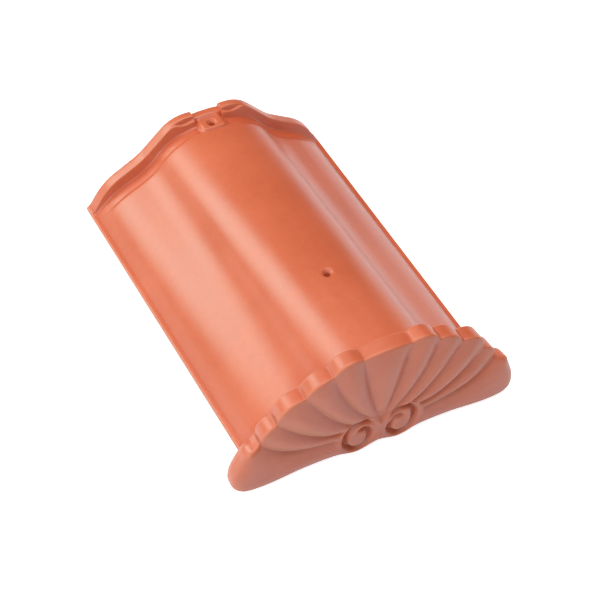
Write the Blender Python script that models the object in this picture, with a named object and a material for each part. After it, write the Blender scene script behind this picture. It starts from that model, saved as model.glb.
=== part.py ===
"""Hip starter tile: a three-lobed clay cover closed at the front by a scallop-shell plate.

Metres, +Z up. The tile lies as it does on a table, on the lower edge of the shell plate and on the
rear ends of its two long lips. The shell faces -Y, the rear rim is towards +Y, and X runs across.
The cover is worked out in a frame of its own, standing on its lips, and is then tipped by the small
angle at which the tile lies. The shell plate is upright in the lying frame.
"""
import math

import bmesh
import bpy
import numpy as np
from mathutils import Matrix, Vector
from mathutils.geometry import delaunay_2d_cdt

# Cover: lengths along it, and half of its section across it as corners (x, z, radius)
REAR_END = 0.4085
FRONT_INSIDE = 0.0090
WALL = 0.0140
REAR_SCALE = 0.796
SCALE_LENGTH = 0.400
SECTION = ((0.0, 0.1175, 0.0), (0.0412, 0.1175, 0.0700), (0.0750, 0.0652, 0.0800),
           (0.1075, 0.0441, 0.1100), (0.1240, 0.0300, 0.0900), (0.1385, 0.0068, 0.0))
LIP_OUT = 0.1435
INNER_FOOT = 0.1264
SECTION_STEP = 0.0062
INNER_STEP = 0.0090
SHORTEST = 0.25
LONG_STATIONS = 4

# Rear rim with its channel, and the gap between its two halves with the nail pad and a low lip
CHANNEL_START = 0.3765
CHANNEL_EDGE = 0.0010
CHANNEL_END = 0.3920
CHANNEL_DEEP = 0.0024
RISE = 0.0012
LEDGE_END = 0.3966
FLANK_BACK = 0.0015
LEDGE_HIGH = 0.0058
LEDGE_FULL = 0.0260
LEDGE_NONE = 0.0460
TOP_END = 0.4025
END_DROP = 0.0050
RIM_SECTION = ((0.0, 0.1010, 0.0), (0.0400, 0.1025, 0.0400), (0.0800, 0.0625, 0.0600),
               (0.1245, 0.0365, 0.0650), (0.1410, 0.0070, 0.0))
GAP_HALF = 0.0163
PAD_HALF = 0.0120
PAD_HIGH = 0.0018
REAR_LIP_HIGH = 0.0044
EDGE_RUN = 0.0010

# Nail holes on the centre line, both countersunk
CROWN_HOLE_AT = 0.1180
PAD_HOLE_AT = 0.3863
HOLE_WIDE = 0.0062
SINK_WIDE = 0.0125
SINK_DEEP = 0.0030
HOLE_SIDES = 20

# Shell plate, half of it: x across, and heights measured from the plane of the lips
PLATE_THICK = 0.0180
NOTCHES = ((0.0271, 0.1190), (0.0600, 0.1082), (0.0893, 0.0895), (0.1180, 0.0628), (0.1345, 0.0388))
BULGES = (0.0050, 0.0088, 0.0068, 0.0105, 0.0065)
CREASE_STARTS = ((0.0050, 0.0260), (0.0140, 0.0250), (0.0300, 0.0220), (0.0440, 0.0170), (0.0460, 0.0040))
CREASE_BENDS = ((0.0172, 0.0620), (0.0470, 0.0560), (0.0550, 0.0310), (0.0735, 0.0125), (0.1125, 0.0050))
WING = ((0.1345, 0.0388, 0.0), (0.1500, 0.0350, 0.0140), (0.1643, -0.0020, 0.0500), (0.1640, -0.0314, 0.0200),
        (0.1400, -0.0314, 0.0))
FOOT_LEVEL = -0.0247
FOOT_WING = 0.0067
FOOT_BULGE = 0.0056
BULGE_AT = 0.0250
BULGE_HALF = 0.0150
FOOT_NOTCH = 0.0015
NOTCH_HALF = 0.0100
TOP_ROUND = 0.0040
FOOT_ROUND = 0.0060
WING_ROUND = 0.0105
BACK_TURNS = (0.0, 0.25 * math.pi, 0.5 * math.pi)
BACK_ROUND = 0.0015
WING_BACK_ROUND = 0.0100
BACK_RUN = 0.0080
ARC_PARTS = 6

# Relief of the shell: its cone, the crests of the petals and the rounded wings
CONE_HIGH = 0.0060
CONE_REACH = 0.0920
CREST_SLOPE = 0.260
CREST_LIMIT = 0.0088
PETAL_EDGE = 0.22
PETAL_ROLL = 0.0420
HUB_Z = 0.0210
HUB_INNER = 0.0040
HUB_OUTER = 0.0150
WING_LOW = 0.0055
WING_HIGH = 0.0100
WING_RISE = 0.0110
WING_FALL = 0.0040
WING_FALL_RUN = 0.0200

# Scrolls at the foot of the shell
SCROLL_X = 0.0240
SCROLL_Z = 0.0005
SCROLL_INNER = 0.0068
SCROLL_GROW = 0.0145
SCROLL_EASE = 0.45
SCROLL_START = 0.306
SCROLL_TURNS = 1.22
SCROLL_OVAL = 0.14
SCROLL_FADE = 0.12
DISC_EDGE = 0.0230
BAND_HIGH = 0.0032
GROOVE_DEEP = 0.0072
GROOVE_HALF = 0.0031

FOOT_DROP = -(FOOT_LEVEL - FOOT_WING)
LIE = math.asin(FOOT_DROP / REAR_END)
CLAY = (0.68, 0.20, 0.11, 1.0)


def rounded(corners, spacing):
    """A line through corners (x, z, radius), with each corner rounded by an arc."""
    points = [np.array(corners[0][:2])]

    def run_to(end):
        start = points[-1]
        length = float(np.linalg.norm(end - start))
        if length > SHORTEST * spacing:
            parts = max(1, round(length / spacing))
            points.extend(start + (end - start) * k / parts for k in range(1, parts + 1))

    for i in range(1, len(corners) - 1):
        here = np.array(corners[i][:2])
        before = np.array(corners[i - 1][:2]) - here
        after = np.array(corners[i + 1][:2]) - here
        before /= np.linalg.norm(before)
        after /= np.linalg.norm(after)
        half = 0.5 * math.acos(float(before @ after))
        radius = corners[i][2]
        middle = here + (before + after) / np.linalg.norm(before + after) * radius / math.sin(half)
        first = here + before * radius / math.tan(half) - middle
        last = here + after * radius / math.tan(half) - middle
        turn = math.pi - 2.0 * half
        parts = max(2, round(radius * turn / spacing))
        run_to(middle + first)
        for k in range(1, parts + 1):
            t = k / parts
            mix = math.sin((1.0 - t) * turn) * first + math.sin(t * turn) * last
            points.append(middle + mix / math.sin(turn))
    run_to(np.array(corners[-1][:2]))
    return np.array(points)


def height_at(line, x):
    return np.interp(np.abs(x), line[:, 0], line[:, 1])


def ease(value, low, high):
    """0 below low, 1 above high, and a smooth rise between them."""
    t = np.clip((value - low) / (high - low), 0.0, 1.0)
    return t * t * (3.0 - 2.0 * t)


def lie_down(x, y, z):
    """From the cover's own frame to the lying one."""
    return (x, y * math.cos(LIE) + z * math.sin(LIE), z * math.cos(LIE) - y * math.sin(LIE) + FOOT_DROP)


def mesh_object(name, points, faces):
    mesh = bpy.data.meshes.new(name)
    mesh.from_pydata([tuple(map(float, p)) for p in points], [], faces)
    mesh.update()
    made = bpy.data.objects.new(name, mesh)
    bpy.context.scene.collection.objects.link(made)
    return made


# The cover
def mirrored(half):
    """A half line from the middle outwards becomes a whole one from left to right."""
    return np.concatenate([half[::-1] * (-1.0, 1.0), half[half[:, 0] > 0.0]])


def top_half():
    """The upper side of the section, with a column at every edge of the pad, the gap and the ledge."""
    line = rounded(SECTION, SECTION_STEP)
    edges = np.array([PAD_HALF, PAD_HALF + EDGE_RUN, GAP_HALF, GAP_HALF + EDGE_RUN, LEDGE_FULL, LEDGE_NONE])
    clear = np.min(np.abs(line[:, :1] - edges), axis=1) > 0.3 * SECTION_STEP
    columns = np.sort(np.concatenate([line[clear, 0], edges]))
    return np.stack([columns, height_at(line, columns)], axis=1)


def under_half():
    """The underside: the section moved inwards by the wall and ended on the plane of the lips."""
    line = rounded(SECTION, INNER_STEP)
    run = np.gradient(line, axis=0)
    inwards = np.stack([run[:, 1], -run[:, 0]], axis=1) / np.linalg.norm(run, axis=1)[:, None]
    line = line + inwards * WALL
    line[0] = (0.0, SECTION[0][1] - WALL)
    line[-1] = (INNER_FOOT, 0.0)
    return line


def rear_raise(x, ground, rim, stage):
    """How far the top stands above the plain section, at one stage of the rear end."""
    wide = np.abs(x)
    in_gap = wide < GAP_HALF + 0.5 * EDGE_RUN
    on_pad = wide < PAD_HALF + 0.5 * EDGE_RUN
    full = np.maximum(height_at(rim, x) - ground, 0.0)
    outer = ease(wide, LEDGE_FULL, LEDGE_NONE)
    ledge = np.minimum(LEDGE_HIGH + (full - LEDGE_HIGH) * outer, full)
    channel = -CHANNEL_DEEP * ease(SECTION[-1][0] - wide, 0.0, WALL)
    pad = ground.max() + PAD_HIGH - ground
    gap_floor = np.where(on_pad, pad, 0.5 * channel)
    stages = {"plain": 0.0 * x,
              "edge": np.where(on_pad, pad, 0.1 * channel),
              "channel": np.where(on_pad, pad, channel),
              "ledge": np.where(in_gap, gap_floor, ledge),
              "top": np.where(in_gap, REAR_LIP_HIGH, full),
              "round": np.where(in_gap, REAR_LIP_HIGH, np.maximum(full - 0.3 * END_DROP, 0.0)),
              "end": np.where(in_gap, REAR_LIP_HIGH, np.maximum(full - END_DROP, 0.0))}
    return stages[stage]


def cover_rings():
    """Closed section rings from front to rear, each going over the top and back underneath."""
    top = mirrored(top_half())
    under = mirrored(under_half())[::-1]
    rim = rounded(RIM_SECTION, SECTION_STEP)
    lip_top = SECTION[-1][1]
    flank = FLANK_BACK * ease(np.abs(top[:, 0]), LEDGE_FULL, LEDGE_NONE)
    plain = [(k * CHANNEL_START / LONG_STATIONS, 0.0, "plain") for k in range(LONG_STATIONS + 1)]
    rear = [(CHANNEL_START + CHANNEL_EDGE, 0.0, "edge"), (CHANNEL_END, 1.0, "channel"),
            (CHANNEL_END + RISE, 1.0, "ledge"), (LEDGE_END, 0.0, "ledge"), (LEDGE_END + RISE, 0.0, "top"),
            (TOP_END, 0.0, "top"), (REAR_END - 0.3 * (REAR_END - TOP_END), 0.0, "round"),
            (REAR_END, 0.0, "end")]
    rings = []
    for along, back, stage in plain + rear:
        scale = 1.0 - (1.0 - REAR_SCALE) * along / SCALE_LENGTH
        ground = top[:, 1] * scale
        height = ground + rear_raise(top[:, 0], ground, rim, stage)
        upper = np.stack([top[:, 0], along + back * flank, height], axis=1)
        lip = np.array([(LIP_OUT, along, lip_top * scale), (LIP_OUT, along, 0.0)])
        thinner = (SECTION[0][1] * scale - WALL) / (SECTION[0][1] - WALL)
        lower = np.stack([under[:, 0], np.full(len(under), along), under[:, 1] * thinner], axis=1)
        left_lip = lip[::-1] * (-1.0, 1.0, 1.0)
        ring = np.concatenate([left_lip, upper, lip, lower])
        if along == 0.0:
            ring[:, 1] = (FRONT_INSIDE - ring[:, 2] * math.sin(LIE)) / math.cos(LIE)
        rings.append(ring)
    return rings


def make_cover():
    rings = cover_rings()
    size = len(rings[0])
    points = [lie_down(*p) for ring in rings for p in ring]
    faces = []
    for r in range(len(rings) - 1):
        for k in range(size):
            n = (k + 1) % size
            a, b = r * size, (r + 1) * size
            faces.append((a + k, a + n, b + n, b + k))
    faces.append(tuple(reversed(range(size))))
    faces.append(tuple(range((len(rings) - 1) * size, len(rings) * size)))
    return mesh_object("cover", points, faces)


# The shell plate
def foot_height(x):
    """The lower edge of the plate: a bulge under each scroll and a sweep down to each wing."""
    wide = np.abs(x)
    wing = FOOT_WING * ease(wide, BULGE_AT + 4.0 * BULGE_HALF, WING[-1][0])
    bulge = FOOT_BULGE * np.exp(-((wide - BULGE_AT) / BULGE_HALF) ** 2)
    return FOOT_LEVEL - wing - bulge + FOOT_NOTCH * np.exp(-(wide / NOTCH_HALF) ** 2)


def arc(start, end, rise, parts):
    """Points after start up to end on an arc that rises to the left of the way from start to end."""
    start, end = np.array(start), np.array(end)
    chord = end - start
    length = np.linalg.norm(chord)
    radius = (0.25 * length ** 2 + rise ** 2) / (2.0 * rise)
    along = chord / length
    up = np.array((-along[1], along[0]))
    middle = 0.5 * (start + end) + up * (rise - radius)
    spread = math.asin(0.5 * length / radius)
    turns = np.linspace(-spread, spread, parts + 1)[1:]
    return [middle + radius * (math.sin(a) * along + math.cos(a) * up) for a in turns]


def plate_outline(parts, spacing):
    """The closed outline of the plate, clockwise from the left foot of the middle petal."""
    first = NOTCHES[0]
    half = [np.array(first)]
    for start, end, rise in zip(NOTCHES, NOTCHES[1:], BULGES[1:]):
        half += arc(start, end, rise, parts)
    half += list(rounded(WING, spacing))[1:]
    foot_from = WING[-1][0]
    count = round(foot_from / spacing)
    for k in range(1, count + 1):
        x = foot_from * (1.0 - k / count)
        half.append(np.array((x, foot_height(x))))
    crown = arc((-first[0], first[1]), first, BULGES[0], 2 * (parts // 2 + 1))
    left = [p * (-1.0, 1.0) for p in half[-2::-1]]
    return np.array(crown[:-1] + half + left)


def crease(j, parts):
    """Crease j of the right half, from its scroll to its notch, as a curve with one bend."""
    t = np.linspace(0.0, 1.0, parts + 1)[:, None]
    start, bend, end = np.array(CREASE_STARTS[j]), np.array(CREASE_BENDS[j]), np.array(NOTCHES[j])
    return (1.0 - t) ** 2 * start + 2.0 * t * (1.0 - t) * bend + t * t * end


def near_line(points, line, closed=False):
    """Distance from each point to a line of points, and whether it lies to the left of it."""
    starts = line if closed else line[:-1]
    ends = np.roll(line, -1, axis=0) if closed else line[1:]
    run = ends - starts
    off = points[:, None, :] - starts[None, :, :]
    t = np.clip((off * run).sum(2) / (run * run).sum(1), 0.0, 1.0)
    gap = off - t[:, :, None] * run
    far = np.hypot(gap[:, :, 0], gap[:, :, 1])
    best = far.argmin(1)
    rows = np.arange(len(points))
    side = run[best, 0] * off[rows, best, 1] - run[best, 1] * off[rows, best, 0]
    return far[rows, best], side > 0.0


def petal_relief(points, inset):
    """Height of the domed petals and wings over the cone of the shell, for points with x >= 0."""
    lines = [crease(j, 24) for j in range(len(NOTCHES))]
    gaps, lefts = zip(*(near_line(points, line) for line in lines))
    middle_gap, _ = near_line(points, lines[0] * (-1.0, 1.0))
    gaps = (middle_gap,) + gaps
    region = len(lines) - np.sum(lefts, axis=0)
    height = np.zeros(len(points))
    for j in range(len(lines)):
        here = region == j
        one, two = gaps[j][here], gaps[j + 1][here]
        width = np.maximum(one + two, 1e-6)
        crest = CREST_LIMIT * np.tanh(CREST_SLOPE * width / CREST_LIMIT)
        height[here] = crest * 4.0 * one * two / width ** 2
    rolled = (1.0 - PETAL_EDGE) * np.clip(1.0 - inset / PETAL_ROLL, 0.0, 1.0) ** 2
    from_hub = np.hypot(points[:, 0], points[:, 1] - HUB_Z)
    height *= (1.0 - rolled) * ease(from_hub, HUB_INNER, HUB_OUTER)
    here = region == len(lines)
    from_foot = points[here, 1] - foot_height(points[here, 0])
    fall = WING_FALL * np.clip(1.0 - from_foot / WING_FALL_RUN, 0.0, 1.0) ** 2
    high = WING_LOW + (WING_HIGH - WING_LOW) * ease(points[here, 0], CREASE_STARTS[-1][0], NOTCHES[-1][0])
    height[here] = high * (1.0 - np.exp(-gaps[-1][here] / WING_RISE)) - fall
    return height


def front_radius(points):
    """Radius of the rounded front edge: small on the petals, larger on the foot and on the wings."""
    outer = ease(np.abs(points[:, 0]), NOTCHES[2][0], NOTCHES[-1][0])
    low = FOOT_ROUND + (WING_ROUND - FOOT_ROUND) * outer
    return low + (TOP_ROUND - low) * ease(points[:, 1], 0.5 * NOTCHES[-1][1], 1.2 * NOTCHES[-1][1])


def back_radius(x, z):
    """Radius of the rounded back edge, which grows from the last notch on, more slowly along the foot."""
    slow = WING[2][0] - NOTCHES[-1][0] - BACK_RUN
    run = BACK_RUN + slow * ease(-z, -NOTCHES[-1][1], -WING[-1][1])
    outer = ease(abs(x), NOTCHES[-1][0], NOTCHES[-1][0] + run)
    return BACK_ROUND + (WING_BACK_ROUND - BACK_ROUND) * outer


def scroll_groove():
    """The middle of the right scroll's groove, from its inner end round and outwards."""
    u = np.linspace(0.0, SCROLL_TURNS, 500)
    angle = 2.0 * math.pi * (SCROLL_START - u)
    reach = SCROLL_INNER + SCROLL_GROW * (1.0 - np.exp(-u / SCROLL_EASE))
    reach = reach * (1.0 - SCROLL_OVAL * np.cos(2.0 * angle))
    return np.stack([SCROLL_X - reach * np.cos(angle), SCROLL_Z + reach * np.sin(angle)], axis=1)


def scroll_relief(points):
    """Height of the scroll's band and groove over the cone, and how far the disc takes over."""
    reach = np.hypot(points[:, 0] - SCROLL_X, points[:, 1] - SCROLL_Z)
    share = 1.0 - ease(reach, DISC_EDGE, DISC_EDGE + 2.0 * GROOVE_HALF)
    height = np.full(len(points), BAND_HIGH)
    close = np.flatnonzero(share > 0.0)
    if len(close) == 0:
        return height, share
    line = scroll_groove()
    off = points[close][:, None, :] - line[None, :, :]
    gaps = np.hypot(off[:, :, 0], off[:, :, 1])
    best = gaps.argmin(1)
    gap = gaps[np.arange(len(close)), best]
    along = best / (len(line) - 1.0)
    deep = GROOVE_DEEP * ease(along, -0.3 * SCROLL_FADE, SCROLL_FADE) * ease(1.0 - along, 0.0, SCROLL_FADE)
    height[close] -= deep * np.exp(-(gap / GROOVE_HALF) ** 2)
    return height, share


def front_face(points, outline):
    """How far the front of the plate stands forward of the level of its notches."""
    right = np.stack([np.abs(points[:, 0]), points[:, 1]], axis=1)
    reach = np.hypot(np.maximum(right[:, 0] - SCROLL_X, 0.0), right[:, 1] - SCROLL_Z)
    cone = CONE_HIGH * np.minimum(1.0 - (reach - DISC_EDGE) / CONE_REACH, 1.0)
    scroll, share = scroll_relief(right)
    inset, _ = near_line(points, outline, closed=True)
    forward = cone + petal_relief(right, inset) * (1.0 - share) + scroll * share
    radius = front_radius(right)
    short = np.clip(radius - inset, 0.0, radius)
    return forward - (radius - np.sqrt(radius ** 2 - short ** 2))


def inset_rows(outline):
    """Rows of points just inside the outline, where its front edge is rounded."""
    run = np.roll(outline, -1, axis=0) - np.roll(outline, 1, axis=0)
    inwards = np.stack([run[:, 1], -run[:, 0]], axis=1) / np.linalg.norm(run, axis=1)[:, None]
    radius = front_radius(outline)
    rows = []
    for share in (0.1, 0.4, 1.0):
        row = outline + inwards * (share * radius)[:, None]
        gap, _ = near_line(row, outline, closed=True)
        rows.append(row[gap > 0.93 * share * radius])
    return np.concatenate(rows)


def petal_points():
    """Points along the crests and flanks of the petals of the right half and on its wing."""
    lines = [crease(j, 12) for j in range(len(NOTCHES))]
    lines = [lines[0] * (-1.0, 1.0)] + lines
    points = []
    for one, two in zip(lines, lines[1:]):
        for share in (0.2, 0.5, 0.8):
            points.append((one * (1.0 - share) + two * share)[1:])
    for x in np.arange(0.052, 0.160, 0.009):
        for z in np.arange(-0.030, 0.030, 0.0075):
            points.append(np.array([(x, z)]))
    return np.concatenate(points)


def scroll_points():
    points = [np.array([(SCROLL_X, SCROLL_Z)])]
    for reach in np.arange(0.0030, DISC_EDGE + 0.0060, 0.0026):
        count = max(8, round(2.0 * math.pi * reach / 0.0042))
        turns = np.linspace(0.0, 2.0 * math.pi, count, endpoint=False)
        points.append(np.stack([SCROLL_X + reach * np.cos(turns), SCROLL_Z + reach * np.sin(turns)], axis=1))
    points = np.concatenate(points)
    return points[points[:, 0] > 0.0010]


def plate_points(outline):
    """Every point of the plate's front face, and the edges that follow its outline and creases."""
    petals = petal_points()
    scrolls = scroll_points()
    off = np.hypot(petals[:, 0] - SCROLL_X, petals[:, 1] - SCROLL_Z)
    petals = petals[(off > DISC_EDGE + 0.0065) & (petals[:, 0] > -0.0001)]
    right = np.concatenate([petals, scrolls])
    middle = np.stack([np.zeros(12), np.linspace(-0.018, 0.022, 12)], axis=1)
    inner = np.concatenate([right, right[right[:, 0] > 0.0005] * (-1.0, 1.0), middle])
    gap, outside = near_line(inner, outline, closed=True)
    inner = inner[(gap > 1.15 * front_radius(inner)) & ~outside]
    points = [outline, inset_rows(outline), inner]
    edges = [(k, (k + 1) % len(outline)) for k in range(len(outline))]
    start = sum(len(p) for p in points)
    for j in range(len(NOTCHES)):
        for side in (1.0, -1.0):
            line = crease(j, 14)[:-1] * (side, 1.0)
            off = np.hypot(np.abs(line[:, 0]) - SCROLL_X, line[:, 1] - SCROLL_Z)
            line = line[off > DISC_EDGE]
            points.append(line)
            edges += [(start + k, start + k + 1) for k in range(len(line) - 1)]
            start += len(line)
            notch = np.hypot(*(outline - np.array(NOTCHES[j]) * (side, 1.0)).T).argmin()
            edges.append((start - 1, int(notch)))
    return np.concatenate(points), edges


def make_plate():
    outline = plate_outline(ARC_PARTS, 0.0070)
    points, edges = plate_points(outline)
    flat = [Vector((float(x), float(z))) for x, z in points]
    made, _, faces, sources, *_ = delaunay_2d_cdt(flat, edges, [], 0, 1e-5)
    made = np.array([tuple(p) for p in made])
    middles = np.array([made[list(face)].mean(0) for face in faces])
    gap, outside = near_line(middles, outline, closed=True)
    faces = [face for face, out, far in zip(faces, outside, gap) if far > 1e-5 and not out]
    forward = front_face(made, outline)
    work = bmesh.new()
    used = {k for face in faces for k in face}
    verts = {k: work.verts.new((made[k, 0], -forward[k], made[k, 1] + FOOT_DROP)) for k in sorted(used)}
    for face in faces:
        work.faces.new([verts[k] for k in face])
    bmesh.ops.recalc_face_normals(work, faces=work.faces)
    place = {source: k for k, group in enumerate(sources) for source in group}
    row = [verts[place[k]] for k in range(len(outline))]
    run = np.roll(outline, -1, axis=0) - np.roll(outline, 1, axis=0)
    inwards = np.stack([run[:, 1], -run[:, 0]], axis=1) / np.linalg.norm(run, axis=1)[:, None]
    for turn in BACK_TURNS:
        grown = []
        for (x, z), (dx, dz) in zip(outline, inwards):
            radius = back_radius(x, z)
            inset = radius * (1.0 - math.cos(turn))
            depth = PLATE_THICK - radius * (1.0 - math.sin(turn))
            grown.append(work.verts.new((x + dx * inset, depth, z + dz * inset + FOOT_DROP)))
        for k in range(len(row)):
            n = (k + 1) % len(row)
            work.faces.new((row[k], row[n], grown[n], grown[k]))
        row = grown
    work.faces.new(row)
    bmesh.ops.recalc_face_normals(work, faces=work.faces)
    mesh = bpy.data.meshes.new("plate")
    work.to_mesh(mesh)
    work.free()
    made = bpy.data.objects.new("plate", mesh)
    bpy.context.scene.collection.objects.link(made)
    return made


# The nail holes
def hole_cutter(along, top):
    """A round bore with a countersink, standing square to the cover at its centre line."""
    profile = ((HOLE_WIDE / 2.0, top - 2.0 * WALL), (HOLE_WIDE / 2.0, top - SINK_DEEP),
               (SINK_WIDE / 2.0, top), (SINK_WIDE / 2.0 * 1.3, top + 2.0 * SINK_DEEP))
    turns = [2.0 * math.pi * k / HOLE_SIDES for k in range(HOLE_SIDES)]
    points = [lie_down(r * math.cos(a), along + r * math.sin(a), z) for r, z in profile for a in turns]
    faces = []
    for row in range(len(profile) - 1):
        for k in range(HOLE_SIDES):
            n = (k + 1) % HOLE_SIDES
            a, b = row * HOLE_SIDES, (row + 1) * HOLE_SIDES
            faces.append((a + k, a + n, b + n, b + k))
    faces.append(tuple(reversed(range(HOLE_SIDES))))
    faces.append(tuple(range((len(profile) - 1) * HOLE_SIDES, len(profile) * HOLE_SIDES)))
    return mesh_object("hole", points, faces)


def combine(tile, other, operation):
    """Apply one Boolean to the tile and drop the other solid."""
    cut = tile.modifiers.new("join", "BOOLEAN")
    cut.operation = operation
    cut.object = other
    cut.solver = "EXACT"
    bpy.context.view_layer.objects.active = tile
    bpy.ops.object.modifier_apply(modifier=cut.name)
    bpy.data.objects.remove(other)


def centre_on_floor(tile):
    """Put the middle of the tile's underside box on the origin."""
    along = [v.co.y for v in tile.data.vertices]
    low = min(v.co.z for v in tile.data.vertices)
    tile.data.transform(Matrix.Translation((0.0, -0.5 * (min(along) + max(along)), -low)))


def terracotta():
    material = bpy.data.materials.new("terracotta")
    material.use_nodes = True
    shader = material.node_tree.nodes["Principled BSDF"]
    shader.inputs["Base Color"].default_value = CLAY
    shader.inputs["Roughness"].default_value = 0.45
    shader.inputs["Metallic"].default_value = 0.0
    return material


def main():
    for old in list(bpy.data.objects):
        bpy.data.objects.remove(old)
    tile = make_cover()
    combine(tile, make_plate(), "UNION")
    scale = 1.0 - (1.0 - REAR_SCALE) / SCALE_LENGTH * np.array((CROWN_HOLE_AT, PAD_HOLE_AT))
    crown, pad = SECTION[0][1] * scale
    combine(tile, hole_cutter(CROWN_HOLE_AT, crown), "DIFFERENCE")
    combine(tile, hole_cutter(PAD_HOLE_AT, pad + PAD_HIGH), "DIFFERENCE")
    centre_on_floor(tile)
    tile.name = "hip_starter_tile"
    tile.data.name = "hip_starter_tile"
    tile.data.materials.clear()
    tile.data.materials.append(terracotta())
    tile.data.shade_smooth()
    tile.data.set_sharp_from_angle(angle=math.radians(35.0))


main()
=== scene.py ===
"""Hip starter tile: a three-lobed clay cover closed by a scallop-shell plate, in satin orange-red clay slip.

Metres, +Z up. The cover is worked out in a frame of its own, standing on its lips, and is then tipped
by the small angle at which the tile lies on the shell plate's lower edge and its rear ends.
"""
import math

import bmesh
import bpy
import numpy as np
from mathutils import Euler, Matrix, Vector
from mathutils.geometry import delaunay_2d_cdt


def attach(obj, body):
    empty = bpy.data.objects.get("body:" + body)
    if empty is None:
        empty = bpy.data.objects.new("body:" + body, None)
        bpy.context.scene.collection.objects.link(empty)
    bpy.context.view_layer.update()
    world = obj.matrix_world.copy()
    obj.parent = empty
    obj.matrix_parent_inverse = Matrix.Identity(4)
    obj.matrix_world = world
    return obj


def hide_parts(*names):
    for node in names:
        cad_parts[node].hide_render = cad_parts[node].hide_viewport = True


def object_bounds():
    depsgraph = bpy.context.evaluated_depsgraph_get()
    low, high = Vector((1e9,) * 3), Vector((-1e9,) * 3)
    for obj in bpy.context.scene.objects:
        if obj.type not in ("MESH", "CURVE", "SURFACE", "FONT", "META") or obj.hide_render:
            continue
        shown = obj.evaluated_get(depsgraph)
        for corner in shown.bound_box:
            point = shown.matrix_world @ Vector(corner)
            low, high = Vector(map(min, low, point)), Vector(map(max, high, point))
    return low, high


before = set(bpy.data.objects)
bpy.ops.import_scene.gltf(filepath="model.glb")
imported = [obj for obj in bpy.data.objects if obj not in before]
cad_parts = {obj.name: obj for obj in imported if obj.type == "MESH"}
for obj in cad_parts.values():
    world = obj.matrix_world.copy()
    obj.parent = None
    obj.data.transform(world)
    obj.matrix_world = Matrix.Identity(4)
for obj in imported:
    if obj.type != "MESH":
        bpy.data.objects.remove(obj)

CAD_BOX = [list(map(float, corner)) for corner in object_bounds()]

# Cover: lengths along it, and half of its section as corners (x, z, radius)
REAR_END = 0.4085
FRONT_INSIDE = 0.0090
WALL = 0.0140
REAR_SCALE = 0.796
SCALE_LENGTH = 0.400
SECTION = ((0.0, 0.1175, 0.0), (0.0412, 0.1175, 0.0700), (0.0750, 0.0652, 0.0800),
           (0.1075, 0.0441, 0.1100), (0.1240, 0.0300, 0.0900), (0.1385, 0.0068, 0.0))
LIP_OUT = 0.1435
LIP_ROUND = 0.0014
INNER_FOOT = 0.1264
LIP_CHAMFER = 0.0008
COLUMN_STEP = 0.0026
UNDER_STEP = 0.0045
BODY_ROWS = 24
BODY_SHARE = 0.99

# Rear rim, its channel and ledge, and the gap with the nail pad and a low lip; the reaches say how far
# each corner of the profiles along the tile is rounded
CHANNEL_LEAD = 0.0030
CHANNEL_START = 0.3765
CHANNEL_END = 0.3920
CHANNEL_DEEP = 0.0024
CHANNEL_STEP = 0.0030
RISE = 0.0012
LEDGE_END = 0.3966
FLANK_BACK = 0.0015
LEDGE_HIGH = 0.0058
LEDGE_FULL = 0.0260
LEDGE_NONE = 0.0460
END_RUN = 0.0060
END_DROP = 0.0050
RIM_SECTION = ((0.0, 0.1010, 0.0), (0.0400, 0.1025, 0.0400), (0.0800, 0.0625, 0.0600),
               (0.1245, 0.0365, 0.0650), (0.1410, 0.0070, 0.0))
GAP_HALF = 0.0163
GAP_EASE = 0.0012
PAD_HALF = 0.0120
PAD_EASE = 0.0042
PAD_HIGH = 0.0018
PAD_RISE = 0.0010
REAR_LIP_HIGH = 0.0044
RIM_SOFT = 0.0040
RIM_REACHES = (0.0, 0.0016, 0.0014, 0.0034, 0.0016, 0.0014, 0.0018, END_RUN, 0.0)
LOW_REACHES = (0.0, 0.0016, 0.0014, 0.0020, 0.0010, 0.0022, 0.0020, 0.0030, 0.0)
PAD_REACHES = (0.0, 0.0010, 0.0016, 0.0010, 0.0010, 0.0016, 0.0020, 0.0030, 0.0)

# Nail holes on the centre line
CROWN_HOLE_AT = 0.1180
PAD_HOLE_AT = 0.3863
HOLE_WIDE = 0.0062
SINK_WIDE = 0.0125
SINK_DEEP = 0.0030

# Shell plate, half of it: x across, heights from the plane of the lips
PLATE_THICK = 0.0180
NOTCHES = ((0.0271, 0.1190), (0.0600, 0.1082), (0.0893, 0.0895), (0.1180, 0.0628), (0.1345, 0.0388))
BULGES = (0.0050, 0.0088, 0.0068, 0.0105, 0.0065)
NOTCH_REACH = 0.0034
CREASE_SOFT = 0.0007
CREASE_STARTS = ((0.0050, 0.0260), (0.0140, 0.0250), (0.0300, 0.0220), (0.0440, 0.0170), (0.0460, 0.0040))
CREASE_BENDS = ((0.0172, 0.0620), (0.0470, 0.0560), (0.0550, 0.0310), (0.0735, 0.0125), (0.1125, 0.0050))
WING = ((0.1345, 0.0388, 0.0), (0.1500, 0.0350, 0.0140), (0.1643, -0.0020, 0.0500), (0.1640, -0.0314, 0.0200),
        (0.1400, -0.0314, 0.0))
FOOT_LEVEL = -0.0247
FOOT_WING = 0.0067
FOOT_BULGE = 0.0056
BULGE_AT = 0.0250
BULGE_HALF = 0.0150
FOOT_NOTCH = 0.0015
NOTCH_HALF = 0.0100
TOP_ROUND = 0.0018
FOOT_ROUND = 0.0060
WING_ROUND = 0.0105
BACK_ROUND = 0.0020
WING_BACK_ROUND = 0.0100
BACK_RUN = 0.0080
PLATE_DRAFT = 0.0016
OUTLINE_STEP = 0.0019
FACE_STEP = 0.0019
FACE_BOX = ((0.0006, -0.0340), (0.1660, 0.1280))
JITTER = 0.06
SCROLL_STEP = 0.0011
SCROLL_BOX = ((0.0005, -0.0340), (0.0540, 0.0340))
SCROLL_JOIN = 0.0065
CREASE_CLEAR = 0.0011
CREASE_ASIDE = 0.0006

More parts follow.
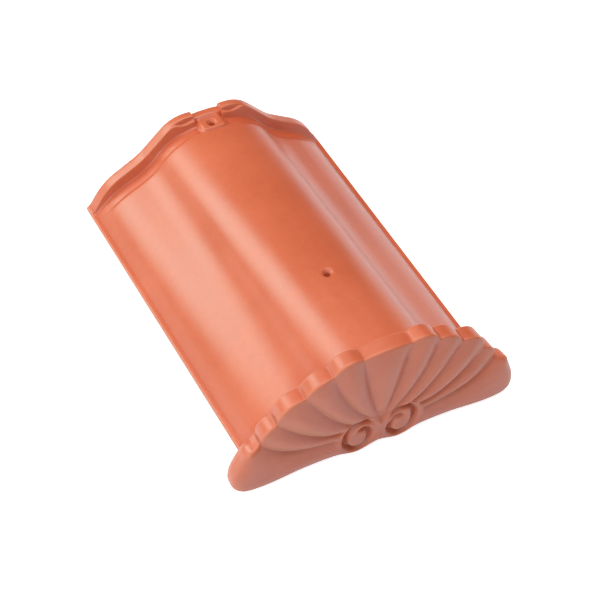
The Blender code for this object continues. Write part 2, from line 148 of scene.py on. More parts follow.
# Relief of the shell
CONE_HIGH = 0.0060
CONE_REACH = 0.0920
CREST_SLOPE = 0.260
CREST_LIMIT = 0.0088
PETAL_EDGE = 0.22
PETAL_ROLL = 0.0420
HUB_Z = 0.0210
HUB_INNER = 0.0040
HUB_OUTER = 0.0150
WING_LOW = 0.0055
WING_HIGH = 0.0100
WING_RISE = 0.0110
WING_FALL = 0.0040
WING_FALL_RUN = 0.0200

# Scrolls at the foot of the shell
SCROLL_X = 0.0240
SCROLL_Z = 0.0005
SCROLL_INNER = 0.0068
SCROLL_GROW = 0.0145
SCROLL_EASE = 0.45
SCROLL_START = 0.306
SCROLL_TURNS = 1.22
SCROLL_OVAL = 0.14
SCROLL_FADE = 0.12
DISC_EDGE = 0.0230
BAND_HIGH = 0.0032
GROOVE_DEEP = 0.0072
GROOVE_HALF = 0.0031

# Slip: the turn that counts as a full edge (one over a radius), its tones (one of them a painted shade for
# the hollows), the sizes of its clouds, mottles and grain, and how high mottles and grain stand
EDGE_TURN = 260.0
SLIP_DEEP = (0.605, 0.122, 0.053, 1.0)
SLIP_PALE = (0.665, 0.142, 0.065, 1.0)
SLIP_SPECK = (0.46, 0.080, 0.034, 1.0)
SLIP_WORN = (0.74, 0.215, 0.105, 1.0)
# Painted shade: a darker tone laid into hollows and creases where shade falls
HOLLOW_PAINTED_SHADE = (0.47, 0.070, 0.030, 1.0)
BARE_CLAY = (0.60, 0.180, 0.095, 1.0)
CLOUD_SCALE = 11.0
MOTTLE_SCALE = 150.0
GRAIN_SCALE = 900.0
MOTTLE_HIGH = 0.00004
GRAIN_HIGH = 0.00005

# Studio: how much the paper floor is lifted for the eye and how much it glows on the clay, the room's
# brightness, and the soft boxes as (name, direction, distance, size, brightness, tint)
FLOOR_LIFT = (0.70, 0.70, 0.70, 1.0)
FLOOR_GLOW = (0.15, 0.24, 0.33, 1.0)
ROOM = 0.05
SOFT_BOXES = (("rear_box", (-0.533, 0.669, 0.504), 2.2, (0.78, 1.35), 6.1, (0.66, 1.0, 0.93)),
              ("top_box", (0.0, 0.1, 1.0), 2.4, (2.4, 2.4), 3.1, (1.0, 0.93, 0.87)),
              ("front_box", (-0.15, -0.75, 0.75), 2.4, (2.4, 1.2), 1.25, (0.50, 0.84, 1.0)),
              ("left_box", (-0.95, -0.05, 0.35), 2.4, (1.4, 1.0), 3.4, (0.97, 1.0, 1.0)),
              ("left_card", (-0.75, -0.55, 0.40), 2.0, (1.2, 0.9), 2.6, (0.55, 0.90, 1.0)),
              ("right_strip", (0.95, 0.25, 0.14), 2.2, (1.6, 0.5), 0.8, (1.0, 0.40, 0.24)),
              ("right_card", (0.95, 0.05, 0.26), 0.52, (0.55, 0.2), 0.65, (1.0, 0.76, 0.58)))

PAPER_SIZE = 14.0
PAPER_BELOW = 0.0002

# Camera: place, turns in degrees and lens
CAMERA_AT = (-0.71111, -1.13031, 1.65248)
CAMERA_TURNS = (38.7952, -4.4294, -27.4328)
CAMERA_LENS = 116.94

# The lying pose: how far the foot drops, the angle that tips the tile, and the middle of its length
FOOT_DROP = -(FOOT_LEVEL - FOOT_WING)
LIE = math.asin(FOOT_DROP / REAR_END)
MIDDLE_Y = 0.202225502


def rounded(corners, spacing):
    """A line through corners (x, z, radius), with each corner rounded by an arc."""
    points = [np.array(corners[0][:2])]

    def run_to(end):
        start = points[-1]
        length = float(np.linalg.norm(end - start))
        if length > 0.25 * spacing:
            parts = max(1, round(length / spacing))
            points.extend(start + (end - start) * k / parts for k in range(1, parts + 1))

    for i in range(1, len(corners) - 1):
        here = np.array(corners[i][:2])
        before = np.array(corners[i - 1][:2]) - here
        after = np.array(corners[i + 1][:2]) - here
        before /= np.linalg.norm(before)
        after /= np.linalg.norm(after)
        half = 0.5 * math.acos(float(before @ after))
        radius = corners[i][2]
        middle = here + (before + after) / np.linalg.norm(before + after) * radius / math.sin(half)
        first = here + before * radius / math.tan(half) - middle
        last = here + after * radius / math.tan(half) - middle
        turn = math.pi - 2.0 * half
        parts = max(2, round(radius * turn / spacing))
        run_to(middle + first)
        for k in range(1, parts + 1):
            t = k / parts
            mix = math.sin((1.0 - t) * turn) * first + math.sin(t * turn) * last
            points.append(middle + mix / math.sin(turn))
    run_to(np.array(corners[-1][:2]))
    return np.array(points)


def height_at(line, x):
    return np.interp(np.abs(x), line[:, 0], line[:, 1])


def ease(value, low, high):
    t = np.clip((value - low) / (high - low), 0.0, 1.0)
    return t * t * (3.0 - 2.0 * t)


def lie_down(points):
    """From the cover's own frame to the lying one, with the tile's middle over the origin."""
    x, y, z = np.asarray(points, dtype=float).T
    return np.stack([x, y * math.cos(LIE) + z * math.sin(LIE) - MIDDLE_Y,
                     z * math.cos(LIE) - y * math.sin(LIE) + FOOT_DROP], axis=1)


def mesh_object(name, points, faces):
    mesh = bpy.data.meshes.new(name)
    mesh.from_pydata([tuple(map(float, p)) for p in points], [], faces)
    mesh.update()
    made = bpy.data.objects.new(name, mesh)
    bpy.context.scene.collection.objects.link(made)
    return made


# The cover
def softened(corners, reaches, parts=4):
    """A line through corners, each turned by a short curve of its own reach, always with the same count."""
    corners = np.array(corners)
    points = [corners[0]]
    for i in range(1, len(corners) - 1):
        here = corners[i]
        ends = []
        for other in (corners[i - 1], corners[i + 1]):
            way = other - here
            length = max(float(np.linalg.norm(way)), 1e-9)
            ends.append(here + way / length * min(reaches[i], 0.46 * length))
        for k in range(parts + 1):
            t = k / parts
            points.append((1 - t) ** 2 * ends[0] + 2 * t * (1 - t) * here + t * t * ends[1])
    points.append(corners[-1])
    return np.array(points)


def spread(value, low, high):
    """The same smooth rise as ease, for one number."""
    return float(ease(np.array(value), low, high))


def rear_profile(x, ground, middle_ground, rim_height):
    """Along the rear end at one place across it: (distance along the cover, height over the plain top)."""
    wide = abs(x)
    outer = spread(wide, LEDGE_FULL, LEDGE_NONE)
    full = max(rim_height - ground(REAR_END), 0.0)
    ledge = min(LEDGE_HIGH + (full - LEDGE_HIGH) * outer, full)
    deep = -CHANNEL_DEEP * spread(SECTION[-1][0] - wide, 0.0, WALL)
    back = FLANK_BACK * outer
    foot = CHANNEL_END + back
    soft = min(RIM_SOFT, 0.45 * full)
    step = CHANNEL_START + CHANNEL_STEP
    lead = [(CHANNEL_START - CHANNEL_LEAD, 0.0), (CHANNEL_START, 0.0)]
    rim = softened(lead + [(step, 0.75 * deep), (foot, deep), (foot + RISE, ledge),
                           (LEDGE_END + 0.5 * back, ledge), (LEDGE_END + RISE + 0.5 * back, full),
                           (REAR_END, full), (REAR_END, full - min(END_DROP, full + 0.002) - soft)],
                   RIM_REACHES)
    rear_lip = [(LEDGE_END + 2.0 * RISE, REAR_LIP_HIGH), (REAR_END, REAR_LIP_HIGH),
                (REAR_END, REAR_LIP_HIGH - END_DROP)]
    half = 0.5 * deep
    low = softened(lead + [(step, half), (CHANNEL_END, half), (CHANNEL_END + RISE, half), (LEDGE_END, half)]
                   + rear_lip, LOW_REACHES)
    raised = middle_ground(CHANNEL_END) - ground(CHANNEL_END) + PAD_HIGH
    pad = softened(lead + [(CHANNEL_START + PAD_RISE, raised), (step, raised), (CHANNEL_END, raised),
                           (LEDGE_END, raised)] + rear_lip, PAD_REACHES)
    on_pad = 1.0 - spread(wide, PAD_HALF - 0.2 * PAD_EASE, PAD_HALF + PAD_EASE)
    in_rim = spread(wide, GAP_HALF - 0.3 * GAP_EASE, GAP_HALF + GAP_EASE)
    inside = low * (1.0 - on_pad) + pad * on_pad
    return inside * (1.0 - in_rim) + rim * in_rim


def top_columns():
    line = rounded(SECTION, COLUMN_STEP)
    close = [PAD_HALF + PAD_EASE * k / 4.0 for k in range(-1, 5)]
    close += [GAP_HALF + GAP_EASE * (k / 5.0) for k in range(-2, 6)]
    close = np.array(close)
    clear = np.min(np.abs(line[:, :1] - close), axis=1) > 0.3 * COLUMN_STEP
    columns = np.sort(np.concatenate([line[clear, 0], close]))
    return np.concatenate([-columns[:0:-1], columns]), line


def under_half():
    line = rounded(SECTION, UNDER_STEP)
    run = np.gradient(line, axis=0)
    inwards = np.stack([run[:, 1], -run[:, 0]], axis=1) / np.linalg.norm(run, axis=1)[:, None]
    line = line + inwards * WALL
    line[0] = (0.0, SECTION[0][1] - WALL)
    line[-1] = (INNER_FOOT, 0.0)
    return line


def scale_at(along):
    return 1.0 - (1.0 - REAR_SCALE) * along / SCALE_LENGTH


def make_cover():
    across, line = top_columns()
    rim_line = rounded(RIM_SECTION, COLUMN_STEP)
    middle_ground = lambda along: SECTION[0][1] * scale_at(along)
    rows = [CHANNEL_START * BODY_SHARE * k / BODY_ROWS for k in range(BODY_ROWS)]
    columns = []
    for x in across:
        base = float(height_at(line, x))
        ground = lambda along: base * scale_at(along)
        profile = rear_profile(x, ground, middle_ground, float(height_at(rim_line, x)))
        body = [(along, base * scale_at(along)) for along in rows]
        rear = [(along, base * scale_at(along) + up) for along, up in profile]
        columns.append(np.array([(x, along, z) for along, z in body + rear]))
    columns = np.array(columns)
    plain = rear_profile(0.1, lambda along: 1.0, lambda along: 1.0, 1.01)[:, 0]
    stations = np.concatenate([rows, plain])
    stations[-1] = REAR_END
    stations[-2] = REAR_END - 0.0001
    lip = [(LIP_OUT - LIP_ROUND, 0.0), (LIP_OUT - 0.3 * LIP_ROUND, -0.3 * LIP_ROUND), (LIP_OUT, -LIP_ROUND)]
    under = under_half()
    under = np.concatenate([under[::-1] * (-1.0, 1.0), under[1:]])[::-1]
    rings = []
    for r, along in enumerate(stations):
        top = columns[:, r]
        lip_top = SECTION[-1][1] * scale_at(along)
        outer = [(x, along, lip_top + z) for x, z in lip]
        outer += [(LIP_OUT, along, LIP_CHAMFER), (LIP_OUT - LIP_CHAMFER, along, 0.0)]
        thinner = (middle_ground(along) - WALL) / (SECTION[0][1] - WALL)
        lower = [(x, along, z * thinner) for x, z in under]
        left = [(-x, y, z) for x, y, z in outer[::-1]]
        ring = np.array(left + [tuple(p) for p in top] + outer + lower)
        if r == 0:
            ring[:, 1] = (FRONT_INSIDE - ring[:, 2] * math.sin(LIE)) / math.cos(LIE)
        rings.append(ring)
    size = len(rings[0])
    faces = []
    for r in range(len(rings) - 1):
        for k in range(size):
            n = (k + 1) % size
            a, b = r * size, (r + 1) * size
            faces.append((a + k, a + n, b + n, b + k))
    faces.append(tuple(reversed(range(size))))
    faces.append(tuple(range((len(rings) - 1) * size, len(rings) * size)))
    return mesh_object("cover", lie_down(np.concatenate(rings)), faces)


# The shell plate
def foot_height(x):
    """The lower edge of the plate: a bulge under each scroll and a sweep down to each wing."""
    wide = np.abs(x)
    wing = FOOT_WING * ease(wide, BULGE_AT + 4.0 * BULGE_HALF, WING[-1][0])
    bulge = FOOT_BULGE * np.exp(-((wide - BULGE_AT) / BULGE_HALF) ** 2)
    return FOOT_LEVEL - wing - bulge + FOOT_NOTCH * np.exp(-(wide / NOTCH_HALF) ** 2)


def arc(start, end, rise, spacing):
    """Points after start up to end on an arc that rises to the left of the way from start to end."""
    start, end = np.array(start), np.array(end)
    chord = end - start
    length = np.linalg.norm(chord)
    radius = (0.25 * length ** 2 + rise ** 2) / (2.0 * rise)
    along = chord / length
    up = np.array((-along[1], along[0]))
    middle = 0.5 * (start + end) + up * (rise - radius)
    spread_angle = math.asin(0.5 * length / radius)
    parts = 2 * max(2, round(radius * spread_angle / spacing))
    turns = np.linspace(-spread_angle, spread_angle, parts + 1)[1:]
    return [middle + radius * (math.sin(a) * along + math.cos(a) * up) for a in turns]


def plate_outline(spacing):
    """The closed outline of the plate, clockwise from the left foot of the middle petal."""
    first = NOTCHES[0]
    half = [np.array(first)]
    for start, end, rise in zip(NOTCHES, NOTCHES[1:], BULGES[1:]):
        half += arc(start, end, rise, spacing)
    half += list(rounded(WING, spacing))[1:]
    foot_from = WING[-1][0]
    count = round(foot_from / spacing)
    for k in range(1, count + 1):
        x = foot_from * (1.0 - k / count)
        half.append(np.array((x, foot_height(x))))
    crown = arc((-first[0], first[1]), first, BULGES[0], spacing)
    left = [p * (-1.0, 1.0) for p in half[-2::-1]]
    return np.array(crown[:-1] + half + left)


def filleted_outline():
    """The outline with its notches softly filleted, and closer points there than elsewhere."""
    fine = plate_outline(OUTLINE_STEP / 3.0)
    feet = np.array(NOTCHES + tuple((-x, z) for x, z in NOTCHES))
    reach = np.hypot(*(fine[:, None, :] - feet[None, :, :]).transpose(2, 0, 1)).min(1)
    share = np.clip(1.6 - 1.6 * reach / NOTCH_REACH, 0.0, 1.0)[:, None]
    for _ in range(6):
        middle = 0.5 * (np.roll(fine, 1, axis=0) + np.roll(fine, -1, axis=0))
        fine = fine + 0.7 * share * (middle - fine)
    kept = (reach < NOTCH_REACH) | (np.arange(len(fine)) % 3 == 0)
    return fine[kept]


def crease(j, parts):
    """Crease j of the right half, from its scroll to its notch, as a curve with one bend."""
    t = np.linspace(0.0, 1.0, parts + 1)[:, None]
    start, bend, end = np.array(CREASE_STARTS[j]), np.array(CREASE_BENDS[j]), np.array(NOTCHES[j])
    return (1.0 - t) ** 2 * start + 2.0 * t * (1.0 - t) * bend + t * t * end


def near_line(points, line, closed=False):
    """Distance from each point to a line of points, and whether it lies to the left of it."""
    starts = line if closed else line[:-1]
    ends = np.roll(line, -1, axis=0) if closed else line[1:]
    run = ends - starts
    far, side = [], []
    for some in np.array_split(points, max(1, len(points) // 1500)):
        off = some[:, None, :] - starts[None, :, :]
        t = np.clip((off * run).sum(2) / (run * run).sum(1), 0.0, 1.0)
        gap = off - t[:, :, None] * run
        lengths = np.hypot(gap[:, :, 0], gap[:, :, 1])
        best = lengths.argmin(1)
        rows = np.arange(len(some))
        far.append(lengths[rows, best])
        side.append(run[best, 0] * off[rows, best, 1] - run[best, 1] * off[rows, best, 0])
    return np.concatenate(far), np.concatenate(side) > 0.0


def petal_relief(points, inset):
    """Height of the domed petals and wings over the cone of the shell, for points with x >= 0."""
    lines = [crease(j, 40) for j in range(len(NOTCHES))]
    gaps, lefts = zip(*(near_line(points, line) for line in lines))
    middle_gap, _ = near_line(points, lines[0] * (-1.0, 1.0))
    gaps = [np.hypot(gap, CREASE_SOFT) - CREASE_SOFT for gap in (middle_gap,) + gaps]
    region = len(lines) - np.sum(lefts, axis=0)
    height = np.zeros(len(points))
    for j in range(len(lines)):
        here = region == j
        one, two = gaps[j][here], gaps[j + 1][here]
        width = np.maximum(one + two, 1e-6)
        crest = CREST_LIMIT * np.tanh(CREST_SLOPE * width / CREST_LIMIT)
        height[here] = crest * 4.0 * one * two / width ** 2
    rolled = (1.0 - PETAL_EDGE) * np.clip(1.0 - inset / PETAL_ROLL, 0.0, 1.0) ** 2
    from_hub = np.hypot(points[:, 0], points[:, 1] - HUB_Z)
    height *= (1.0 - rolled) * ease(from_hub, HUB_INNER, HUB_OUTER)
    here = region == len(lines)
    from_foot = points[here, 1] - foot_height(points[here, 0])
    fall = WING_FALL * np.clip(1.0 - from_foot / WING_FALL_RUN, 0.0, 1.0) ** 2
    high = WING_LOW + (WING_HIGH - WING_LOW) * ease(points[here, 0], CREASE_STARTS[-1][0], NOTCHES[-1][0])
    height[here] = high * (1.0 - np.exp(-gaps[-1][here] / WING_RISE)) - fall
    return height


def front_radius(points):
    """Radius of the rounded front edge: small on the petals, larger on the foot and on the wings."""
    outer = ease(np.abs(points[:, 0]), NOTCHES[2][0], NOTCHES[-1][0])
    low = FOOT_ROUND + (WING_ROUND - FOOT_ROUND) * outer
    return low + (TOP_ROUND - low) * ease(points[:, 1], 0.5 * NOTCHES[-1][1], 1.2 * NOTCHES[-1][1])


def back_radius(x, z):
    """Radius of the rounded back edge, which grows from the last notch on, more slowly along the foot."""
    slow = WING[2][0] - NOTCHES[-1][0] - BACK_RUN
    run = BACK_RUN + slow * ease(-z, -NOTCHES[-1][1], -WING[-1][1])
    outer = ease(abs(x), NOTCHES[-1][0], NOTCHES[-1][0] + run)
    return BACK_ROUND + (WING_BACK_ROUND - BACK_ROUND) * outer


def scroll_groove():
    """The middle of the right scroll's groove, from its inner end round and outwards."""
    u = np.linspace(0.0, SCROLL_TURNS, 500)
    angle = 2.0 * math.pi * (SCROLL_START - u)
    reach = SCROLL_INNER + SCROLL_GROW * (1.0 - np.exp(-u / SCROLL_EASE))
    reach = reach * (1.0 - SCROLL_OVAL * np.cos(2.0 * angle))
    return np.stack([SCROLL_X - reach * np.cos(angle), SCROLL_Z + reach * np.sin(angle)], axis=1)


def scroll_relief(points):
    """Height of the scroll's band and groove over the cone, and how far the disc takes over."""
    reach = np.hypot(points[:, 0] - SCROLL_X, points[:, 1] - SCROLL_Z)
    share = 1.0 - ease(reach, DISC_EDGE, DISC_EDGE + 2.0 * GROOVE_HALF)
    height = np.full(len(points), BAND_HIGH)
    close = np.flatnonzero(share > 0.0)
    if len(close) == 0:
        return height, share
    line = scroll_groove()
    off = points[close][:, None, :] - line[None, :, :]
    gaps = np.hypot(off[:, :, 0], off[:, :, 1])
    best = gaps.argmin(1)
    gap = gaps[np.arange(len(close)), best]
    along = best / (len(line) - 1.0)
    deep = GROOVE_DEEP * ease(along, -0.3 * SCROLL_FADE, SCROLL_FADE) * ease(1.0 - along, 0.0, SCROLL_FADE)
    height[close] -= deep * np.exp(-(gap / GROOVE_HALF) ** 2)
    return height, share


def front_face(points, outline):
    """How far the front of the plate stands forward of the level of its notches."""
    right = np.stack([np.abs(points[:, 0]), points[:, 1]], axis=1)
    reach = np.hypot(np.maximum(right[:, 0] - SCROLL_X, 0.0), right[:, 1] - SCROLL_Z)
    cone = CONE_HIGH * np.minimum(1.0 - (reach - DISC_EDGE) / CONE_REACH, 1.0)
    scroll, share = scroll_relief(right)
    inset, _ = near_line(points, outline, closed=True)
    forward = cone + petal_relief(right, inset) * (1.0 - share) + scroll * share
    radius = front_radius(right)
    short = np.clip(radius - inset, 0.0, radius)
    return forward - (radius - np.sqrt(radius ** 2 - short ** 2))


def outline_run(outline):
    run = np.roll(outline, -1, axis=0) - np.roll(outline, 1, axis=0)
    return np.stack([run[:, 1], -run[:, 0]], axis=1) / np.linalg.norm(run, axis=1)[:, None]


def inset_rows(outline):
    """Rows of points just inside the outline, where its front edge is rounded."""
    inwards = outline_run(outline)
    radius = front_radius(outline)
    rows = []
    for share in (0.03, 0.12, 0.28, 0.5, 0.75, 1.0):
        row = outline + inwards * (share * radius)[:, None]
        gap, _ = near_line(row, outline, closed=True)
        rows.append(row[gap > 0.9 * share * radius])
    return np.concatenate(rows)


def hex_points(low, high, step):
    xs = np.arange(low[0], high[0], step)
    zs = np.arange(low[1], high[1], step * 0.866)
    grid = [(x + (0.5 * step if r % 2 else 0.0), z) for r, z in enumerate(zs) for x in xs]
    return np.array(grid)


def plate_points(outline):
    """Every point of the plate's front face, and the edges that follow its outline and creases."""
    spare = np.random.default_rng(4)
    face = hex_points(*FACE_BOX, FACE_STEP)
    face = face + spare.uniform(-JITTER, JITTER, face.shape) * FACE_STEP
    fine = hex_points(*SCROLL_BOX, SCROLL_STEP)
    off = np.hypot(face[:, 0] - SCROLL_X, face[:, 1] - SCROLL_Z)
    face = face[off > DISC_EDGE + SCROLL_JOIN]
    fine = fine[np.hypot(fine[:, 0] - SCROLL_X, fine[:, 1] - SCROLL_Z) < DISC_EDGE + SCROLL_JOIN - 0.0005]
    inner = np.concatenate([face, fine])
    lines = [crease(j, 60) for j in range(len(NOTCHES))]
    for line in lines:
        gap, _ = near_line(inner, line)
        inner = inner[gap > CREASE_CLEAR]
    middle = np.stack([np.zeros(60), np.linspace(-0.022, 0.118, 60)], axis=1)
    inner = np.concatenate([inner[inner[:, 0] > 0.0005], inner[inner[:, 0] > 0.0005] * (-1.0, 1.0), middle])
    gap, outside = near_line(inner, outline, closed=True)
    inner = inner[(gap > 1.1 * front_radius(inner)) & ~outside]
    points = [outline, inset_rows(outline), inner]
    edges = [(k, (k + 1) % len(outline)) for k in range(len(outline))]
    start = sum(len(p) for p in points)
    for j, line in enumerate(lines):
        for side in (1.0, -1.0):
            whole = line[:-1]
            off = np.hypot(np.abs(whole[:, 0]) - SCROLL_X, whole[:, 1] - SCROLL_Z)
            whole = whole[off > DISC_EDGE] * (side, 1.0)
            points.append(whole)
            edges += [(start + k, start + k + 1) for k in range(len(whole) - 1)]
            start += len(whole)
            notch = np.hypot(*(outline - np.array(NOTCHES[j]) * (side, 1.0)).T).argmin()
            edges.append((start - 1, int(notch)))
            run = np.gradient(whole, axis=0)
            aside = np.stack([run[:, 1], -run[:, 0]], axis=1) / np.linalg.norm(run, axis=1)[:, None]
            for shift in (-CREASE_ASIDE, CREASE_ASIDE):
                near = whole[:-3] + aside[:-3] * shift
                points.append(near)
                start += len(near)
    return np.concatenate(points), edges


def make_plate():
    outline = filleted_outline()
    points, edges = plate_points(outline)
    flat = [Vector((float(x), float(z))) for x, z in points]
    made, _, faces, sources, *_ = delaunay_2d_cdt(flat, edges, [], 0, 1e-5)
    made = np.array([tuple(p) for p in made])
    middles = np.array([made[list(face)].mean(0) for face in faces])
    gap, outside = near_line(middles, outline, closed=True)
    faces = [face for face, out, far in zip(faces, outside, gap) if far > 1e-5 and not out]
    forward = front_face(made, outline)
    work = bmesh.new()
    used = {k for face in faces for k in face}
    verts = {k: work.verts.new((made[k, 0], -forward[k], made[k, 1] + FOOT_DROP)) for k in sorted(used)}
    for face in faces:
        work.faces.new([verts[k] for k in face])
    place = {source: k for k, group in enumerate(sources) for source in group}
    row = [verts[place[k]] for k in range(len(outline))]
    inwards = outline_run(outline)
    starts = np.array([v.co.y for v in row])
    levels = [("wall", share) for share in (0.05, 0.35, 0.65, 0.95)]
    levels += [("back", 0.5 * math.pi * k / 4.0) for k in range(5)]
    for kind, amount in levels:
        grown = []
        for i, ((x, z), (dx, dz)) in enumerate(zip(outline, inwards)):
            radius = back_radius(x, z)
            draft = PLATE_DRAFT * spread(z, 0.3 * NOTCHES[-1][1], NOTCHES[-1][1])
            if kind == "wall":
                inset = draft * amount
                depth = starts[i] + (PLATE_THICK - radius - starts[i]) * amount
            else:
                inset = draft + radius * (1.0 - math.cos(amount))
                depth = PLATE_THICK - radius * (1.0 - math.sin(amount))
            grown.append(work.verts.new((x + dx * inset, depth, z + dz * inset + FOOT_DROP)))
        for k in range(len(row)):
            n = (k + 1) % len(row)
            work.faces.new((row[k], row[n], grown[n], grown[k]))
        row = grown
    work.faces.new(row)
    bmesh.ops.recalc_face_normals(work, faces=work.faces)
    bmesh.ops.translate(work, verts=work.verts, vec=(0.0, -MIDDLE_Y, 0.0))
    mesh = bpy.data.meshes.new("plate")
    work.to_mesh(mesh)
    work.free()
    made = bpy.data.objects.new("plate", mesh)
    bpy.context.scene.collection.objects.link(made)
    return made


def combine(tile, other, operation):
    cut = tile.modifiers.new("join", "BOOLEAN")
    cut.operation = operation
    cut.object = other
    cut.solver = "EXACT"
    bpy.context.view_layer.objects.active = tile
    bpy.ops.object.modifier_apply(modifier=cut.name)
    bpy.data.objects.remove(other)


def hole_cutter(along, top):
    """A round bore with a softly dished countersink, square to the cover on its centre line."""
    profile = ((HOLE_WIDE / 2.0, top - 2.0 * WALL), (HOLE_WIDE / 2.0, top - SINK_DEEP - 0.0006),
               (HOLE_WIDE / 2.0 + 0.0004, top - SINK_DEEP), (SINK_WIDE / 2.0 - 0.0006, top - 0.0005),
               (SINK_WIDE / 2.0 + 0.0004, top + 0.0001), (SINK_WIDE / 2.0 + 0.0030, top + 0.0008),
               (SINK_WIDE / 2.0 + 0.0030, top + 0.0080))
    sides = 40
    turns = [2.0 * math.pi * k / sides for k in range(sides)]
    points = [(r * math.cos(a), along + r * math.sin(a), z) for r, z in profile for a in turns]
    faces = []
    for row in range(len(profile) - 1):
        for k in range(sides):
            n = (k + 1) % sides
            a, b = row * sides, (row + 1) * sides
            faces.append((a + k, a + n, b + n, b + k))
    faces.append(tuple(reversed(range(sides))))
    faces.append(tuple(range((len(profile) - 1) * sides, len(profile) * sides)))
    return mesh_object("hole", lie_down(points), faces)


# Finishes
def mark_edges(tile):
    """Stores how each point turns, from -1 in a hollow to 1 on an edge, and how far the slip covers it."""
    mesh = tile.data
    places = np.array([v.co for v in mesh.vertices])
    normals = np.array([v.normal for v in mesh.vertices])
    one, two = np.array([e.vertices[:] for e in mesh.edges]).T
    way = places[two] - places[one]
    square = np.maximum((way * way).sum(1), 1e-7)
    turn = np.zeros(len(places))
    count = np.zeros(len(places))
    for start, sign in ((one, -1.0), (two, 1.0)):
        np.add.at(turn, start, sign * 2.0 * (way * normals[start]).sum(1) / square)
        np.add.at(count, start, 1.0)
    turn = np.clip(turn / np.maximum(count, 1.0) / EDGE_TURN, -1.0, 1.0)
    for _ in range(3):
        total = turn.copy()
        np.add.at(total, one, turn[two])
        np.add.at(total, two, turn[one])
        turn = total / (count + 1.0)
    slip = ease(normals[:, 2], -0.30, -0.05)
    for name, values in (("edge", turn), ("slip", slip)):
        kept = mesh.attributes.new(name, "FLOAT", "POINT")
        kept.data.foreach_set("value", values.astype(np.float32))


def clay_slip():
    """Orange-red slip fired to a satin surface: cloudy in tone, finely grained, thin and pale on the edges,
    darkened in the hollows by painted shade, and left off on the matt underside."""
    material = bpy.data.materials.new("orange_clay_slip")
    material.use_nodes = True
    nodes = material.node_tree.nodes
    links = material.node_tree.links
    shader = nodes["Principled BSDF"]
    place = nodes.new("ShaderNodeTexCoord")

    def noise(scale, detail, rough):
        made = nodes.new("ShaderNodeTexNoise")
        made.inputs["Scale"].default_value = scale
        made.inputs["Detail"].default_value = detail
        made.inputs["Roughness"].default_value = rough
        links.new(place.outputs["Object"], made.inputs["Vector"])
        return made.outputs["Fac"]

    def fit(value, low, high, to_low, to_high):
        made = nodes.new("ShaderNodeMapRange")
        ends = {"From Min": low, "From Max": high, "To Min": to_low, "To Max": to_high}
        for socket, amount in ends.items():
            made.inputs[socket].default_value = amount
        links.new(value, made.inputs["Value"])
        return made.outputs["Result"]

    def maths(kind, one, two):
        made = nodes.new("ShaderNodeMath")
        made.operation = kind
        for socket, value in zip(made.inputs, (one, two)):
            if isinstance(value, float):
                socket.default_value = value
            else:
                links.new(value, socket)
        return made.outputs[0]

    def mixed(share, one, two):
        made = nodes.new("ShaderNodeMix")
        made.data_type = "RGBA"
        links.new(share, made.inputs[0])
        for socket, value in ((made.inputs[6], one), (made.inputs[7], two)):
            if isinstance(value, tuple):
                socket.default_value = value
            else:
                links.new(value, socket)
        return made.outputs[2]

    def stored(name):
        made = nodes.new("ShaderNodeAttribute")
        made.attribute_name = name
        return made.outputs["Fac"]

    clouds = fit(noise(CLOUD_SCALE, 4.0, 0.6), 0.35, 0.65, 0.0, 1.0)
    mottle = fit(noise(MOTTLE_SCALE, 3.0, 0.6), 0.30, 0.70, 0.0, 1.0)
    grain = noise(GRAIN_SCALE, 4.0, 0.7)
    edge, slip = stored("edge"), stored("slip")
    colour = mixed(clouds, SLIP_DEEP, SLIP_PALE)
    colour = mixed(maths("MULTIPLY", mottle, 0.16), colour, SLIP_SPECK)
    worn = maths("MULTIPLY", fit(edge, 0.15, 0.80, 0.0, 0.55), fit(mottle, 0.0, 1.0, 0.5, 1.0))
    colour = mixed(worn, colour, SLIP_WORN)
    # Painted shade: hollows and creases are darkened towards the painted shade tone
    colour = mixed(fit(edge, -0.08, -0.60, 0.0, 0.60), colour, HOLLOW_PAINTED_SHADE)
    colour = mixed(slip, BARE_CLAY, colour)
    links.new(colour, shader.inputs["Base Color"])
    rough = maths("ADD", fit(clouds, 0.0, 1.0, 0.29, 0.35), fit(grain, 0.3, 0.7, -0.03, 0.03))
    rough = maths("ADD", rough, fit(edge, 0.15, 0.80, 0.0, 0.08))
    rough = maths("ADD", rough, fit(slip, 0.0, 1.0, 0.35, 0.0))
    links.new(rough, shader.inputs["Roughness"])
    height = maths("ADD", maths("MULTIPLY", grain, GRAIN_HIGH), maths("MULTIPLY", mottle, MOTTLE_HIGH))
    bump = nodes.new("ShaderNodeBump")
    bump.inputs["Strength"].default_value = 0.6
    bump.inputs["Distance"].default_value = 1.0
    links.new(height, bump.inputs["Height"])
    links.new(bump.outputs["Normal"], shader.inputs["Normal"])
    shader.inputs["IOR"].default_value = 1.55
    shader.inputs["Metallic"].default_value = 0.0
    return material


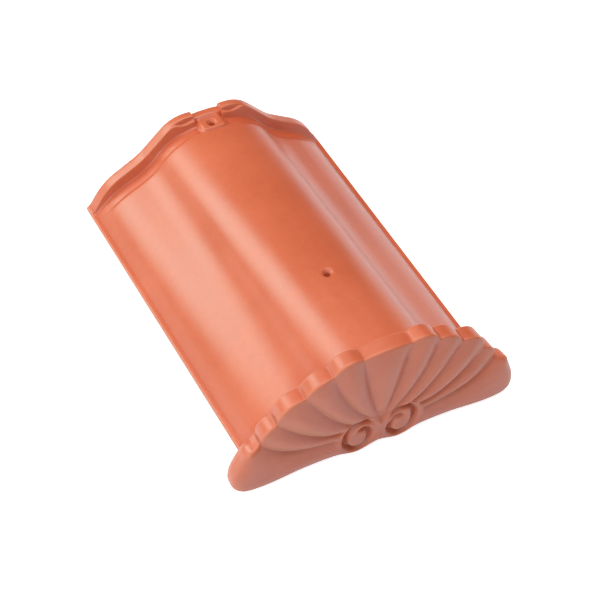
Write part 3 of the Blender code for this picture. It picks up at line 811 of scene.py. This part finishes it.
def stage():
    for o in bpy.context.selected_objects:
        o.select_set(False)
    bpy.ops.mesh.primitive_plane_add(size=PAPER_SIZE, location=(0.0, 0.0, -PAPER_BELOW))
    floor = bpy.context.object
    floor.name = "floor"
    white = bpy.data.materials.new("white_paper")
    white.use_nodes = True
    nodes, links = white.node_tree.nodes, white.node_tree.links
    shader = nodes["Principled BSDF"]
    shader.inputs["Base Color"].default_value = (0.90, 0.90, 0.90, 1.0)
    shader.inputs["Roughness"].default_value = 0.9
    shader.inputs["Emission Strength"].default_value = 1.0
    path = nodes.new("ShaderNodeLightPath")
    glow = nodes.new("ShaderNodeMix")
    glow.data_type = "RGBA"
    glow.inputs[6].default_value = FLOOR_GLOW
    glow.inputs[7].default_value = FLOOR_LIFT
    links.new(path.outputs["Is Camera Ray"], glow.inputs[0])
    links.new(glow.outputs[2], shader.inputs["Emission Color"])
    floor.data.materials.append(white)
    world = bpy.data.worlds.new("studio")
    bpy.context.scene.world = world
    world.use_nodes = True
    air = world.node_tree.nodes["Background"]
    air.inputs["Color"].default_value = (1.0, 1.0, 1.0, 1.0)
    air.inputs["Strength"].default_value = ROOM
    for name, way, far, size, bright, tint in SOFT_BOXES:
        data = bpy.data.lights.new(name, "AREA")
        data.shape = "RECTANGLE"
        data.size, data.size_y = size
        data.energy = bright * math.pi * size[0] * size[1]
        data.color = tint
        lamp = bpy.data.objects.new(name, data)
        bpy.context.scene.collection.objects.link(lamp)
        lamp.location = Vector(way).normalized() * far
        lamp.rotation_euler = Vector(way).to_track_quat("Z", "Y").to_euler()


def camera():
    data = bpy.data.cameras.new("camera")
    data.lens = CAMERA_LENS
    data.sensor_width = 36.0
    data.clip_end = 20.0
    made = bpy.data.objects.new("camera", data)
    made.location = CAMERA_AT
    made.rotation_euler = Euler([math.radians(a) for a in CAMERA_TURNS])
    bpy.context.scene.collection.objects.link(made)
    bpy.context.scene.camera = made


def main():
    tile = make_cover()
    combine(tile, make_plate(), "UNION")
    combine(tile, hole_cutter(CROWN_HOLE_AT, SECTION[0][1] * scale_at(CROWN_HOLE_AT)), "DIFFERENCE")
    combine(tile, hole_cutter(PAD_HOLE_AT, SECTION[0][1] * scale_at(PAD_HOLE_AT) + PAD_HIGH), "DIFFERENCE")
    places = np.array([v.co for v in tile.data.vertices])
    places = np.clip(places, np.array(CAD_BOX[0]) + 1e-6, np.array(CAD_BOX[1]) - 1e-6)
    tile.data.vertices.foreach_set("co", places.ravel())
    tile.name = "fired_clay_tile"
    tile.data.name = "fired_clay_tile"
    tile.data.materials.clear()
    tile.data.materials.append(clay_slip())
    mark_edges(tile)
    tile.data.shade_smooth()
    tile.data.set_sharp_from_angle(angle=math.radians(40.0))
    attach(tile, "root")
    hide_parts("hip_starter_tile")
    stage()
    camera()
    bpy.context.scene.view_settings.view_transform = "Standard"


main()
